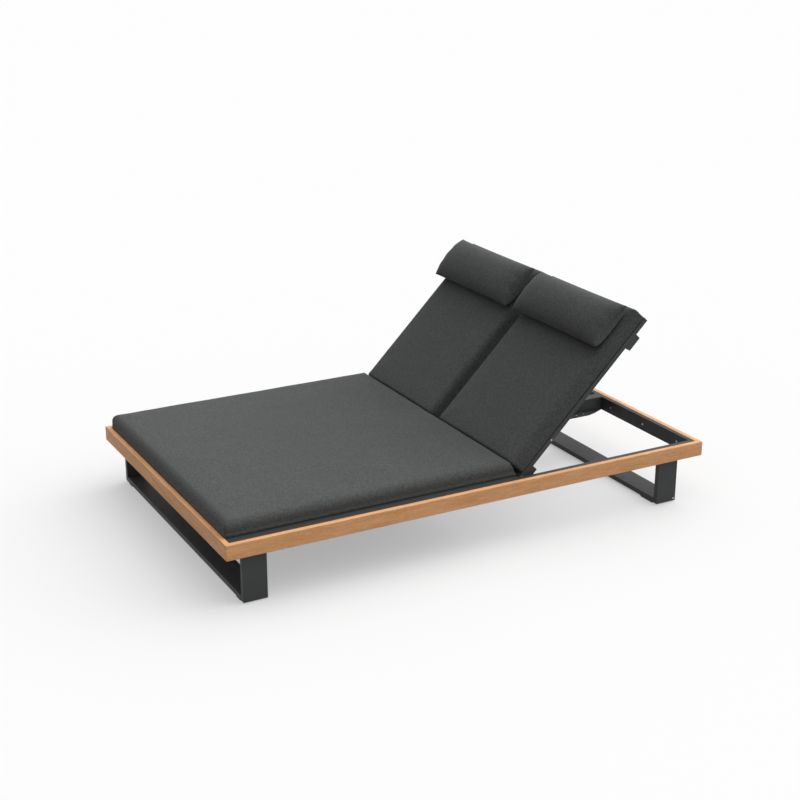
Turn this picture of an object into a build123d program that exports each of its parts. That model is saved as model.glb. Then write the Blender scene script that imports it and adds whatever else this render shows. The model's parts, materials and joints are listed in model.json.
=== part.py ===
from build123d import *
import os
from math import asin, cos, degrees, radians, sin, sqrt

# A double chaise lounger: a low rectangular frame on two sled legs, one wide seat
# cushion, and two backrests that recline on their own, each held by a prop rod.
# Millimetres. X runs across, +Y points to the head end, Z is up.
# The origin is on the ground at the middle of the footprint.
# Left and right are those of a person who lies on it, so left is +X.

# Shared small clearances and the overrun of every cut
overrun = 10
soft_gap = 0.3
joint_gap = 0.3
fit_clearance = 0.05
turning_gap = 0.3

# Main frame: a teak band over a ring of aluminium box section
frame_length = 2104
frame_width = 1340
frame_underside = 194
rail_height = 60
rail_width = 20
rail_wall = 2
rail_rounding = 1.2
teak_thickness = 21
teak_rounding = 2.2

# Sled legs: a flat box section bent into a U under each end
sled_width = 96
sled_thickness = 21
sled_wall = 2
sled_rounding = 1.5
sled_side_inset = 25
foot_sled_inset = 68
head_sled_inset = 103

# Glide pads under the sled runners
glide_thickness = 5
foot_glide_length = 42
head_glide_length = 80
glide_end_inset = 32
glide_edge_inset = 1
glide_rounding = 4

# Screw low on each head leg
sled_screw_head_radius = 4
sled_screw_head_height = 1.2
sled_screw_height = 10.5
sled_screw_edge = 11

# Centre beam between the backrests, joist under the seat, cross beam at the pivots
beam_width = 46
beam_wall = 2
beam_rounding = 1.2
cross_beam_depth = 50
cross_beam_pivot_gap = 32

# Seat deck: slats between two side bars, on a ledge along each side rail
slat_width = 62
slat_thickness = 15
slat_wall = 1.5
slat_rounding = 1.5
slat_count = 13
deck_foot_gap = 8
deck_rear_gap = 1
side_bar_width = 24
side_bar_gap = 0.5
side_bar_pivot_clearance = 2
ledge_width = 40
ledge_thickness = 2.5
ledge_drop = 30

# Screws that hold the teak band, seen on the inner faces of the rails
trim_head_radius = 4.6
trim_head_height = 2.4
trim_shank_radius = 2.2
trim_shank_bite = 12
trim_centre_offset = 93.5
trim_corner_distance = 71.5
trim_end_count = 3
trim_side_pitch = 215
trim_end_distance = 50
ledge_screw_drop = 18

# Backrests: one frame each side of the centre beam
rest_angle = 45
back_pivot_from_head = 850
back_head_clearance = 14
back_outer_clearance = 9
back_inner_clearance = 6
back_tube_width = 30
back_tube_depth = 20
back_tube_wall = 2
back_tube_rounding = 1.5
back_tube_tail = 12
back_tail_rounding = 6
back_slat_count = 8
back_slat_first = 22
bar_depth = 24
bar_width = 65
bar_wall = 2
bar_rounding = 1.5
upper_bar_inset = 70
frame_screw_head_radius = 3.6
frame_screw_head_height = 1.4
frame_screw_along = 188

# Pivots of the backrests
pivot_bolt_radius = 5
pivot_head_clearance = 1.4
pivot_head_height = 5
pivot_head_rounding = 2
pivot_bolt_bite = 14
pivot_spacer_radius = 8.8
bush_radius = 7

# Prop rods, their lugs and the racks that they stand on
prop_inset = 11
prop_rod_radius = 4.5
prop_foot_swell = 0.5
prop_eye_thickness = 10
prop_eye_radius = 9
prop_hinge_along = 290
prop_foot_gap = 0.3
flat_foot_rail_distance = 106
prop_pin_radius = 4
prop_pin_head_radius = 6
prop_pin_head_height = 2
lug_ear_thickness = 3.5
lug_base_length = 44
lug_base_thickness = 2
rack_width = 38
rack_thickness = 4
rack_foot_margin = 35
rack_taper_length = 92
rack_bend_length = 53
rack_bend_inset = 12.5
rack_hole_radius = 6.5
rack_hole_count = 4

# Ledges and pads under the upper bar of a backrest that lies flat
rest_ledge_width = 40
rest_ledge_reach = 29
rest_ledge_thickness = 3
rest_ledge_rise = 22
rest_pad_radius = 10
rest_pad_height = 6

# Cushions
seat_cushion_thickness = 66
back_cushion_thickness = 70
cushion_edge_radius = 26
cushion_joint_radius = 8
cushion_corner_radius = 12
cushion_low_radius = 5
cushion_crown = 5
cushion_draw_in = 2
seat_cushion_shift = 16
seat_cushion_foot_overlap = 2
back_cushion_start = 15
back_cushion_overhang = 3
end_step_shares = (0, 0.1, 0.35, 1)
middle_shares = (0.25, 0.5, 0.75)
low_lift_share = 0.15
end_crown_share = 0.4

# Head pillows and their straps
pillow_length = 596
pillow_low_edge = 227
pillow_top_edge = 22
pillow_height = 100
pillow_seam_height = 40
pillow_end_lip = 4
pillow_tuck = 50
pillow_draw_in = 6
pillow_place_shares = (-1, -0.985, -0.94, -0.85, -0.7, -0.4, 0, 0.4, 0.7, 0.85, 0.94, 0.985, 1)
pillow_bow_share = 0.4
pillow_end_power = 6
strap_width = 60
strap_thickness = 2
strap_tuck = 20
strap_bar_gap = 12

# Places worked out from the sizes above
half_width = frame_width / 2
half_length = frame_length / 2
frame_top = frame_underside + rail_height
rail_outer_x = half_width - teak_thickness
rail_outer_y = half_length - teak_thickness
rail_inner_x = rail_outer_x - rail_width
rail_inner_y = rail_outer_y - rail_width
rail_middle = frame_underside + rail_height / 2
deck_bottom = frame_top - slat_thickness
side_bar_outer_x = rail_inner_x - side_bar_gap
side_bar_inner_x = side_bar_outer_x - side_bar_width
back_pivot_y = half_length - back_pivot_from_head
back_pivot_height = frame_top - back_tube_depth / 2
back_length = rail_inner_y - back_head_clearance - back_pivot_y
cross_beam_rear = back_pivot_y - cross_beam_pivot_gap
cross_beam_front = cross_beam_rear - cross_beam_depth
sled_outer_x = half_width - sled_side_inset
foot_sled_y = (-half_length + foot_sled_inset, -half_length + foot_sled_inset + sled_width)
head_sled_y = (half_length - head_sled_inset - sled_width, half_length - head_sled_inset)
back_outer_x = rail_inner_x - back_outer_clearance
back_inner_x = beam_width / 2 + back_inner_clearance
back_middle_x = (back_outer_x + back_inner_x) / 2
back_face = -back_tube_depth / 2
front_face = back_tube_depth / 2
pivot_head_radius = back_tube_depth / 2 - pivot_head_clearance
upper_bar_end = back_length - upper_bar_inset
upper_bar_start = upper_bar_end - bar_width

# The prop's triangle. The foot stays level at both ends of the travel, and never
# comes lower in between, because the hinge is placed below the pivot's own level.
prop_from_centre = back_inner_x + prop_inset
prop_foot_radius = prop_rod_radius + prop_foot_swell
rack_top = frame_underside + rack_thickness
flat_foot_y = rail_inner_y - flat_foot_rail_distance
foot_height = rack_top + prop_foot_radius + prop_foot_gap
hinge_drop = back_pivot_height - foot_height
prop_length = flat_foot_y - back_pivot_y - prop_hinge_along


def hinge_place(angle):
    """The prop's hinge, as (y, z), with the backrest raised by an angle."""
    y = back_pivot_y + prop_hinge_along * cos(radians(angle)) + hinge_drop * sin(radians(angle))
    z = back_pivot_height + prop_hinge_along * sin(radians(angle)) - hinge_drop * cos(radians(angle))
    return y, z


hinge_y, hinge_z = hinge_place(rest_angle)
prop_slope = degrees(asin((hinge_z - foot_height) / prop_length))
rest_foot_y = hinge_y + prop_length * cos(radians(prop_slope))
rack_pitch = (flat_foot_y - rest_foot_y) / (rack_hole_count - 1)


def block(x_range, y_range, z_range):
    """A box between three pairs of limits."""
    sizes = [high - low for low, high in (x_range, y_range, z_range)]
    centre = [(low + high) / 2 for low, high in (x_range, y_range, z_range)]
    return Pos(*centre) * Box(*sizes)


def box_section(x_range, y_range, z_range, along, wall, rounding, closed=(False, False)):
    """A box section along "X", "Y" or "Z", with either end closed by its wall."""
    ranges = {"X": x_range, "Y": y_range, "Z": z_range}
    axis = {"X": Axis.X, "Y": Axis.Y, "Z": Axis.Z}[along]
    outer = block(x_range, y_range, z_range)
    outer = fillet(outer.edges().filter_by(axis), rounding)
    hollow = {name: (low + wall, high - wall) for name, (low, high) in ranges.items()}
    low, high = ranges[along]
    low = low + wall if closed[0] else low - overrun
    high = high - wall if closed[1] else high + overrun
    hollow[along] = (low, high)
    return outer - block(hollow["X"], hollow["Y"], hollow["Z"])


def rod_x(radius, x_range, y, z):
    """A round bar along X."""
    low, high = x_range
    return Pos((low + high) / 2, y, z) * Rot(0, 90, 0) * Cylinder(radius, high - low)


def rod_y(radius, x, y_range, z):
    """A round bar along Y."""
    low, high = y_range
    return Pos(x, (low + high) / 2, z) * Rot(90, 0, 0) * Cylinder(radius, high - low)


def mirrored(shape):
    """The same shape on the other side of the middle plane."""
    return mirror(shape, about=Plane.YZ)


def group(shapes):
    """Separate solids that share one node."""
    solids = []
    for shape in shapes:
        solids.extend(shape.solids())
    return Compound(children=solids)


def prism(points, z_range):
    """An upright prism on an outline in the ground plane."""
    low, high = z_range
    face = Face(Wire.make_polygon([Vector(x, y, low) for x, y in points]))
    return Solid.extrude(face, Vector(0, 0, high - low))


def ring_outline(side, outer, depth, trim):
    """The plan of one mitred piece of a rectangular ring: outer is its half sizes."""
    outer_x, outer_y = outer
    inner_x, inner_y = outer_x - depth, outer_y - depth
    if side in ("head", "foot"):
        sign = 1 if side == "head" else -1
        return [(-outer_x + trim, sign * outer_y), (outer_x - trim, sign * outer_y),
                (inner_x - trim, sign * inner_y), (-inner_x + trim, sign * inner_y)]
    sign = 1 if side == "left" else -1
    return [(sign * outer_x, -outer_y + trim), (sign * outer_x, outer_y - trim),
            (sign * inner_x, inner_y - trim), (sign * inner_x, -inner_y + trim)]


def teak_board(side):
    """One solid board of the teak band, mitred at both ends."""
    outline = ring_outline(side, (half_width, half_length), teak_thickness, joint_gap / 2)
    board = prism(outline, (frame_underside, frame_top))
    axis = Axis.X if side in ("head", "foot") else Axis.Y
    return fillet(board.edges().filter_by(axis), teak_rounding)


def frame_rail(side):
    """One mitred box section behind the teak band."""
    outline = ring_outline(side, (rail_outer_x, rail_outer_y), rail_width, 0)
    rail = prism(outline, (frame_underside, frame_top))
    axis = Axis.X if side in ("head", "foot") else Axis.Y
    rail = fillet(rail.edges().filter_by(axis), rail_rounding)
    hollow_outer = (rail_outer_x - rail_wall, rail_outer_y - rail_wall)
    hollow = ring_outline(side, hollow_outer, rail_width - 2 * rail_wall, 0)
    return rail - prism(hollow, (frame_underside + rail_wall, frame_top - rail_wall))


def trim_screw_places():
    """Places of the screws behind the teak, as (side, x or y, z, height of the seat face)."""
    places = []
    end_zone = rail_inner_x - trim_corner_distance - trim_centre_offset
    for side in ("head", "foot"):
        for step in range(trim_end_count):
            offset = trim_centre_offset + end_zone * step / (trim_end_count - 1)
            places.append((side, offset, rail_middle, 0))
            places.append((side, -offset, rail_middle, 0))
    seat_zone = cross_beam_front - trim_end_distance + rail_inner_y - trim_end_distance
    seat_count = int(seat_zone // trim_side_pitch) + 1
    back_zone = rail_inner_y - trim_end_distance - back_pivot_y - trim_end_distance
    back_count = int(back_zone // trim_side_pitch) + 1
    for side in ("left", "right"):
        for step in range(seat_count):
            y = -rail_inner_y + trim_end_distance + step * trim_side_pitch
            places.append((side, y, deck_bottom - ledge_screw_drop, ledge_thickness))
        for step in range(back_count):
            y = rail_inner_y - trim_end_distance - step * trim_side_pitch
            places.append((side, y, rail_middle, 0))
    return places


def trim_bar(place, radius, near, far):
    """A round bar square to the inner face at a trim screw's place, between two depths from that face."""
    side, offset, z, lift = place
    sign = 1 if side in ("left", "head") else -1
    face = (rail_inner_x if side in ("left", "right") else rail_inner_y) - lift
    span = tuple(sorted((sign * (face + near), sign * (face + far))))
    if side in ("left", "right"):
        return rod_x(radius, span, offset, z)
    return rod_y(radius, offset, span, z)


def trim_screw(place):
    """One pan head screw through the rail into the teak."""
    tip = place[-1] + rail_width + trim_shank_bite
    head = trim_bar(place, trim_head_radius, -trim_head_height, 0)
    return head + trim_bar(place, trim_shank_radius, 0, tip)


def trim_hole(place):
    """The hole that a trim screw's shank needs."""
    tip = place[-1] + rail_width + trim_shank_bite + fit_clearance
    return trim_bar(place, trim_shank_radius + fit_clearance, 0, tip)


def drilled(shape, side):
    """A rail, board or ledge with the holes of its trim screws."""
    for place in trim_screw_places():
        if place[0] == side:
            shape = shape - trim_hole(place)
    return shape


def sled_outline(name, inset):
    """The outline of a runner or a left leg in the XZ plane, inset for the hollow."""
    outer_x = sled_outer_x - inset
    low = glide_thickness + inset
    depth = sled_thickness - 2 * inset
    if name == "runner":
        return [(-outer_x, low), (outer_x, low),
                (outer_x - depth, low + depth), (-outer_x + depth, low + depth)]
    top = frame_underside - inset
    return [(outer_x, low), (outer_x, top), (outer_x - depth, top), (outer_x - depth, low + depth)]


def sled_piece(name, y_range):
    """The runner or the left leg of a sled, hollow and mitred where they meet."""
    low, high = y_range

    def solid(inset):
        points = [Vector(x, low + inset, z) for x, z in sled_outline(name, inset)]
        face = Face(Wire.make_polygon(points))
        return Solid.extrude(face, Vector(0, high - low - 2 * inset, 0))

    outer = solid(0)
    axis = Axis.X if name == "runner" else Axis.Z
    outer = fillet(outer.edges().filter_by(axis), sled_rounding)
    return outer - solid(sled_wall)


def glides():
    """Four pads under the ends of the runners, which carry the lounger."""
    pads = []
    high = sled_outer_x - glide_end_inset
    ends = ((foot_glide_length, foot_sled_y), (head_glide_length, head_sled_y))
    for length, (low_y, high_y) in ends:
        y_range = (low_y + glide_edge_inset, high_y - glide_edge_inset)
        pad = block((high - length, high), y_range, (0, glide_thickness))
        pad = fillet(pad.edges().filter_by(Axis.Z), glide_rounding)
        pads.extend([pad, mirrored(pad)])
    return group(pads)


def sled_screws():
    """A low head near the lower head side corner of each head leg."""
    y = head_sled_y[1] - sled_screw_edge
    z = glide_thickness + sled_screw_height
    head = rod_x(sled_screw_head_radius, (sled_outer_x, sled_outer_x + sled_screw_head_height), y, z)
    return group([head, mirrored(head)])


def pivot_hole(shape, radius):
    """A hole along X on the axis of the backrest pivots."""
    span = (-half_width, half_width)
    return shape - rod_x(radius, span, back_pivot_y, back_pivot_height)


def centre_beam():
    """The beam between the backrests, from the cross beam to the head rail."""
    beam = box_section((-beam_width / 2, beam_width / 2), (cross_beam_rear, rail_inner_y),
                       (frame_underside, frame_top), "Y", beam_wall, beam_rounding)
    return pivot_hole(beam, pivot_bolt_radius + fit_clearance)


def seat_joist():
    """The joist under the middle of the seat slats."""
    return box_section((-beam_width / 2, beam_width / 2), (-rail_inner_y, cross_beam_front),
                       (frame_underside, deck_bottom), "Y", beam_wall, beam_rounding)


def pivot_cross_beam():
    """The beam across the frame in front of the backrest pivots."""
    return box_section((-rail_inner_x, rail_inner_x), (cross_beam_front, cross_beam_rear),
                       (frame_underside, deck_bottom), "X", beam_wall, beam_rounding)


def slat_ledge():
    """The left angle strip that carries the slat ends."""
    y_range = (-rail_inner_y, cross_beam_front)
    shelf = block((rail_inner_x - ledge_width, rail_inner_x), y_range,
                  (deck_bottom - ledge_thickness, deck_bottom))
    leaf = block((rail_inner_x - ledge_thickness, rail_inner_x), y_range,
                 (deck_bottom - ledge_drop, deck_bottom))
    return drilled(shelf + leaf, "left")


def seat_slats():
    """The slats of the seat deck, evenly spaced from the foot rail to the cross beam."""
    first = -rail_inner_y + deck_foot_gap
    last = cross_beam_rear - deck_rear_gap - slat_width
    slats = []
    for step in range(slat_count):
        low = first + (last - first) * step / (slat_count - 1)
        slats.append(box_section((-side_bar_inner_x, side_bar_inner_x), (low, low + slat_width),
                                 (deck_bottom, frame_top), "X", slat_wall, slat_rounding))
    return group(slats)


def seat_side_bar():
    """The left bar beside the slat ends, which stops clear of the turning backrest tube."""
    tail_reach = sqrt(back_tube_tail ** 2 + front_face ** 2)
    rear = back_pivot_y - tail_reach - side_bar_pivot_clearance
    return box_section((side_bar_inner_x, side_bar_outer_x), (-rail_inner_y, rear), (deck_bottom, frame_top),
                       "Y", slat_wall, slat_rounding)


def rack():
    """The left plate beside the centre beam, tapered at its head end, with a hole for each prop position."""
    low_x = beam_width / 2
    high_x = low_x + rack_width
    low_y = rest_foot_y - rack_foot_margin
    points = [(low_x, low_y), (high_x, low_y), (high_x, rail_inner_y - rack_taper_length),
              (high_x - rack_bend_inset, rail_inner_y - rack_bend_length), (low_x, rail_inner_y)]
    plate = prism(points, (frame_underside, rack_top))
    for step in range(rack_hole_count):
        y = rest_foot_y + step * rack_pitch
        cut = Cylinder(rack_hole_radius, rack_thickness + overrun)
        plate = plate - Pos(prop_from_centre, y, frame_underside + rack_thickness / 2) * cut
    return plate


def rest_ledge_top():
    """Height of the shelf under the pads, from where the upper bar lies when flat."""
    flat_bar_bottom = back_pivot_height + back_face - bar_depth
    return flat_bar_bottom - turning_gap - rest_pad_height


def rest_ledge_y():
    """Limits along Y of a rest ledge, centred under the upper bar when flat."""
    middle = back_pivot_y + (upper_bar_start + upper_bar_end) / 2
    return middle - rest_ledge_width / 2, middle + rest_ledge_width / 2


def rest_ledge():
    """The left angle that the folded backrest lies on."""
    top = rest_ledge_top()
    shelf = block((rail_inner_x - rest_ledge_reach, rail_inner_x), rest_ledge_y(),
                  (top - rest_ledge_thickness, top))
    leaf = block((rail_inner_x - rest_ledge_thickness, rail_inner_x), rest_ledge_y(),
                 (top, top + rest_ledge_rise))
    return shelf + leaf


def rest_pad():
    """The left rubber pad on a rest ledge."""
    low, high = rest_ledge_y()
    x = rail_inner_x - rest_ledge_thickness - (rest_ledge_reach - rest_ledge_thickness) / 2
    z = rest_ledge_top() + rest_pad_height / 2
    return Pos(x, (low + high) / 2, z) * Cylinder(rest_pad_radius, rest_pad_height)


def bolt_head(radius, height, rounding, x_face, direction, y, z):
    """A domed bolt head that stands on a face, pointing along X."""
    head = Cylinder(radius, height, align=(Align.CENTER, Align.CENTER, Align.MIN))
    head = fillet(head.edges().group_by(Axis.Z)[-1], rounding)
    return Pos(x_face, y, z) * Rot(0, 90 * direction, 0) * head


def outer_pivot_bolt():
    """The left bolt from the inside of the outer tube into the side rail."""
    inside = back_outer_x - back_tube_width - turning_gap
    shank = rod_x(pivot_bolt_radius, (inside, rail_inner_x + pivot_bolt_bite),
                  back_pivot_y, back_pivot_height)
    head = bolt_head(pivot_head_radius, pivot_head_height, pivot_head_rounding, inside, -1,
                     back_pivot_y, back_pivot_height)
    return shank + head


def inner_pivot_bolt():
    """The long bolt through the centre beam that carries both inner tubes."""
    inside = back_inner_x + back_tube_width + turning_gap
    bolt = rod_x(pivot_bolt_radius, (-inside, inside), back_pivot_y, back_pivot_height)
    for direction in (-1, 1):
        bolt = bolt + bolt_head(pivot_head_radius, pivot_head_height, pivot_head_rounding,
                                direction * inside, direction, back_pivot_y, back_pivot_height)
    return bolt


def pivot_spacer(x_range):
    """A spacer ring on a pivot bolt."""
    ring = rod_x(pivot_spacer_radius, x_range, back_pivot_y, back_pivot_height)
    return pivot_hole(ring, pivot_bolt_radius + fit_clearance)


def pivot_spacers():
    """Spacers between the tubes and what carries their bolts."""
    outer = pivot_spacer((back_outer_x + turning_gap, rail_inner_x))
    inner = pivot_spacer((beam_width / 2, back_inner_x - turning_gap))
    return group([outer, inner, mirrored(outer), mirrored(inner)])


def raised(shape):
    """A backrest piece, made lying flat with its pivot at zero, raised to the rest angle."""
    return Pos(0, back_pivot_y, back_pivot_height) * Rot(rest_angle, 0, 0) * shape


def side_tube(x_range):
    """A side tube of a backrest, with its pivot hole near the tail."""
    tube = box_section(x_range, (-back_tube_tail, back_length), (back_face, front_face), "Y",
                       back_tube_wall, back_tube_rounding, (False, True))
    profile = block(x_range, (-back_tube_tail, back_length), (back_face, front_face))
    profile = fillet(profile.edges().filter_by(Axis.X).group_by(Axis.Y)[0], back_tail_rounding)
    hole = (x_range[0] - overrun, x_range[1] + overrun)
    return (tube & profile) - rod_x(bush_radius + fit_clearance, hole, 0, 0)


def back_slats():
    """The slats between the side tubes of a backrest, flush with its front."""
    x_range = (back_inner_x + back_tube_width, back_outer_x - back_tube_width)
    last = back_length - back_tube_width - back_slat_first - slat_width
    slats = []
    for step in range(back_slat_count):
        low = back_slat_first + (last - back_slat_first) * step / (back_slat_count - 1)
        slats.append(box_section(x_range, (low, low + slat_width), (front_face - slat_thickness, front_face),
                                 "X", slat_wall, slat_rounding))
    return group(slats)


def pivot_bush(x_range):
    """A nylon sleeve in a side tube that turns on the bolt."""
    return rod_x(bush_radius, x_range, 0, 0) - rod_x(pivot_bolt_radius + fit_clearance,
                                                     (x_range[0] - overrun, x_range[1] + overrun), 0, 0)


def lug_ears():
    """X limits of the two ears beside the prop's eye."""
    inner = prop_eye_thickness / 2 + turning_gap
    return ((prop_from_centre - inner - lug_ear_thickness, prop_from_centre - inner),
            (prop_from_centre + inner, prop_from_centre + inner + lug_ear_thickness))


def prop_lug():
    """Two ears under the inner tube that hold the prop's hinge pin."""
    low_ear, high_ear = lug_ears()
    base_top = back_face
    base_y = (prop_hinge_along - lug_base_length / 2, prop_hinge_along + lug_base_length / 2)
    lug = block((low_ear[0], high_ear[1]), base_y, (base_top - lug_base_thickness, base_top))
    for x_low, x_high in (low_ear, high_ear):
        web = [(base_y[0], base_top), (base_y[1], base_top),
               (prop_hinge_along + prop_eye_radius, -hinge_drop),
               (prop_hinge_along - prop_eye_radius, -hinge_drop)]
        face = Face(Wire.make_polygon([Vector(x_low, y, z) for y, z in web]))
        ear = Solid.extrude(face, Vector(x_high - x_low, 0, 0))
        lug = lug + ear + rod_x(prop_eye_radius, (x_low, x_high), prop_hinge_along, -hinge_drop)
    hole = (low_ear[0] - overrun, high_ear[1] + overrun)
    return lug - rod_x(prop_pin_radius + fit_clearance, hole, prop_hinge_along, -hinge_drop)


def prop_pin():
    """The hinge pin of a prop, with a low head at each end."""
    low_ear, high_ear = lug_ears()
    span = (low_ear[0] - prop_pin_head_height, high_ear[1] + prop_pin_head_height)
    pin = rod_x(prop_pin_radius, span, prop_hinge_along, -hinge_drop)
    for low, high in ((span[0], low_ear[0]), (high_ear[1], span[1])):
        pin = pin + rod_x(prop_pin_head_radius, (low, high), prop_hinge_along, -hinge_drop)
    return pin


def prop_rod():
    """The left prop, from its hinge eye down to its round foot on the rack."""
    eye_span = (prop_from_centre - prop_eye_thickness / 2, prop_from_centre + prop_eye_thickness / 2)
    rod = Pos(0, prop_length / 2, 0) * Rot(90, 0, 0) * Cylinder(prop_rod_radius, prop_length)
    rod = Pos(prop_from_centre, hinge_y, hinge_z) * Rot(-prop_slope, 0, 0) * rod
    rod = rod + rod_x(prop_eye_radius, eye_span, hinge_y, hinge_z)
    rod = rod + Pos(prop_from_centre, rest_foot_y, foot_height) * Sphere(prop_foot_radius)
    hole = (eye_span[0] - overrun, eye_span[1] + overrun)
    return rod - rod_x(prop_pin_radius + fit_clearance, hole, hinge_y, hinge_z)


def frame_screws():
    """One low head on the outward face of each side tube."""
    outside = (back_outer_x, back_outer_x + frame_screw_head_height)
    inside = (back_inner_x - frame_screw_head_height, back_inner_x)
    return group([rod_x(frame_screw_head_radius, span, frame_screw_along, 0) for span in (outside, inside)])


def cushion_section(y, half, low, high, crown):
    """One closed cross section of a cushion, as a wire of lines and arcs."""
    top_radius = min(cushion_edge_radius, (high - low) / 2)
    low_radius = min(cushion_low_radius, (high - low) / 4)
    bend = 1 - sqrt(0.5)

    def point(x, z):
        return Vector(x, y, z)

    def corner(sign, z, radius, up):
        """Start, middle and end of the quarter turn at a corner."""
        side = point(sign * half, z - up * radius)
        middle = point(sign * (half - bend * radius), z - up * bend * radius)
        flat = point(sign * (half - radius), z)
        return side, middle, flat

    right_side, right_middle, right_flat = corner(1, high, top_radius, 1)
    left_side, left_middle, left_flat = corner(-1, high, top_radius, 1)
    low_right_side, low_right_middle, low_right_flat = corner(1, low, low_radius, -1)
    low_left_side, low_left_middle, low_left_flat = corner(-1, low, low_radius, -1)
    edges = [
        Line(low_left_flat, low_right_flat),
        ThreePointArc(low_right_flat, low_right_middle, low_right_side),
        Line(low_right_side, right_side),
        ThreePointArc(right_side, right_middle, right_flat),
        ThreePointArc(right_flat, point(0, high + crown), left_flat),
        ThreePointArc(left_flat, left_middle, left_side),
        Line(left_side, low_left_side),
        ThreePointArc(low_left_side, low_left_middle, low_left_flat),
    ]
    return Wire(edges)


def swell_at(share):
    """How full a cushion is, from 0 at an end to 1 halfway along it."""
    return 4 * share * (1 - share)


def crown_at(share):
    """Height of the crown above the cushion's side edges at a share of its length."""
    return cushion_crown * (end_crown_share + (1 - end_crown_share) * swell_at(share))


def rounding_depth(radius, distance):
    """How far a rounded edge lies behind its flat face, at a distance from the end that it rounds."""
    short = max(0, radius - distance)
    return radius - sqrt(radius ** 2 - short ** 2)


def cushion(width, length, thickness, end_radii):
    """A box cushion with rounded ends, a crown and sides drawn in between its corners."""
    sections = []

    def add(y, distance, radius, share):
        drop = rounding_depth(radius, distance)
        corner = rounding_depth(min(cushion_corner_radius, radius), distance)
        half = width / 2 - corner - cushion_draw_in * swell_at(share)
        high = thickness - cushion_crown - drop
        sections.append(cushion_section(y, half, drop * low_lift_share, high, crown_at(share)))

    low_radius, high_radius = end_radii
    for step in end_step_shares:
        add(low_radius * step, low_radius * step, low_radius, 0)
    for share in middle_shares:
        add(length * share, low_radius, low_radius, share)
    for step in reversed(end_step_shares):
        add(length - high_radius * step, high_radius * step, high_radius, 0)
    return Solid.make_loft(sections, ruled=True)


def back_cushion_front_y():
    """The point nearest the foot that the rounded lower end of a raised back cushion reaches."""
    along = back_cushion_start + cushion_joint_radius
    above = front_face + back_cushion_thickness - cushion_joint_radius
    middle = back_pivot_y + along * cos(radians(rest_angle)) - above * sin(radians(rest_angle))
    return middle - cushion_joint_radius


def seat_cushion():
    """The one wide cushion over both seats, as wide as the opening but pushed over the right rail."""
    width = 2 * rail_inner_x
    low_y = -rail_outer_y - seat_cushion_foot_overlap
    length = back_cushion_front_y() - soft_gap - low_y
    radii = (cushion_edge_radius, cushion_joint_radius)
    pad = cushion(width, length, seat_cushion_thickness - soft_gap, radii)
    return Pos(-seat_cushion_shift, low_y, frame_top + soft_gap) * pad


def back_cushion():
    """The cushion of the left backrest, lying on its front face."""
    low_x = back_inner_x - back_cushion_overhang
    length = back_length - back_cushion_start
    radii = (cushion_joint_radius, cushion_edge_radius)
    pad = cushion(back_outer_x - low_x, length, back_cushion_thickness - soft_gap, radii)
    return Pos((low_x + back_outer_x) / 2, back_cushion_start, front_face + soft_gap) * pad


def pillow_section(x, share):
    """A cross section of the pillow: two panels that meet in a seam, full between thin ends."""
    draw = pillow_draw_in * (1 - share ** 2)
    low = back_length - pillow_low_edge + draw
    high = back_length - pillow_top_edge - draw
    middle = (low + high) / 2
    fullness = sqrt(1 - abs(share) ** pillow_end_power)
    above = pillow_end_lip + (pillow_height - pillow_seam_height - pillow_end_lip) * fullness
    below = pillow_end_lip + (pillow_seam_height - pillow_end_lip) * fullness
    crown = crown_at(pillow_low_edge / (back_length - back_cushion_start))
    seam = front_face + back_cushion_thickness - cushion_crown + crown + soft_gap + pillow_seam_height
    base = seam - below
    bow_z = base + below * pillow_bow_share
    bow_y = pillow_tuck * pillow_bow_share

    def point(y, z):
        return Vector(x, y, z)

    edges = [
        Line(point(low + pillow_tuck, base), point(high - pillow_tuck, base)),
        ThreePointArc(point(high - pillow_tuck, base), point(high - bow_y, bow_z), point(high, seam)),
        ThreePointArc(point(high, seam), point(middle, seam + above), point(low, seam)),
        ThreePointArc(point(low, seam), point(low + bow_y, bow_z), point(low + pillow_tuck, base)),
    ]
    return Wire(edges)


def head_pillow():
    """The loose pillow at the top of the left backrest."""
    sections = []
    for share in pillow_place_shares:
        sections.append(pillow_section(back_middle_x + share * pillow_length / 2, share))
    return Solid.make_loft(sections, ruled=True)


def pillow_strap():
    """The band from under the pillow over the end of the backrest to its rear."""
    x_range = (back_middle_x - strap_width / 2, back_middle_x + strap_width / 2)
    inner_top = front_face + back_cushion_thickness
    inner_end = back_length + soft_gap
    inner_back = back_face - soft_gap
    top_leaf = block(x_range, (back_length - pillow_top_edge - strap_tuck, inner_end + strap_thickness),
                     (inner_top, inner_top + strap_thickness))
    end_leaf = block(x_range, (inner_end, inner_end + strap_thickness),
                     (inner_back - strap_thickness, inner_top + strap_thickness))
    tail = block(x_range, (upper_bar_end + strap_bar_gap, inner_end + strap_thickness),
                 (inner_back - strap_thickness, inner_back))
    band = top_leaf + end_leaf + tail
    corners = band.edges().filter_by(Axis.X).group_by(Axis.Y)[-1]
    return fillet(corners, strap_thickness - soft_gap)


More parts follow.
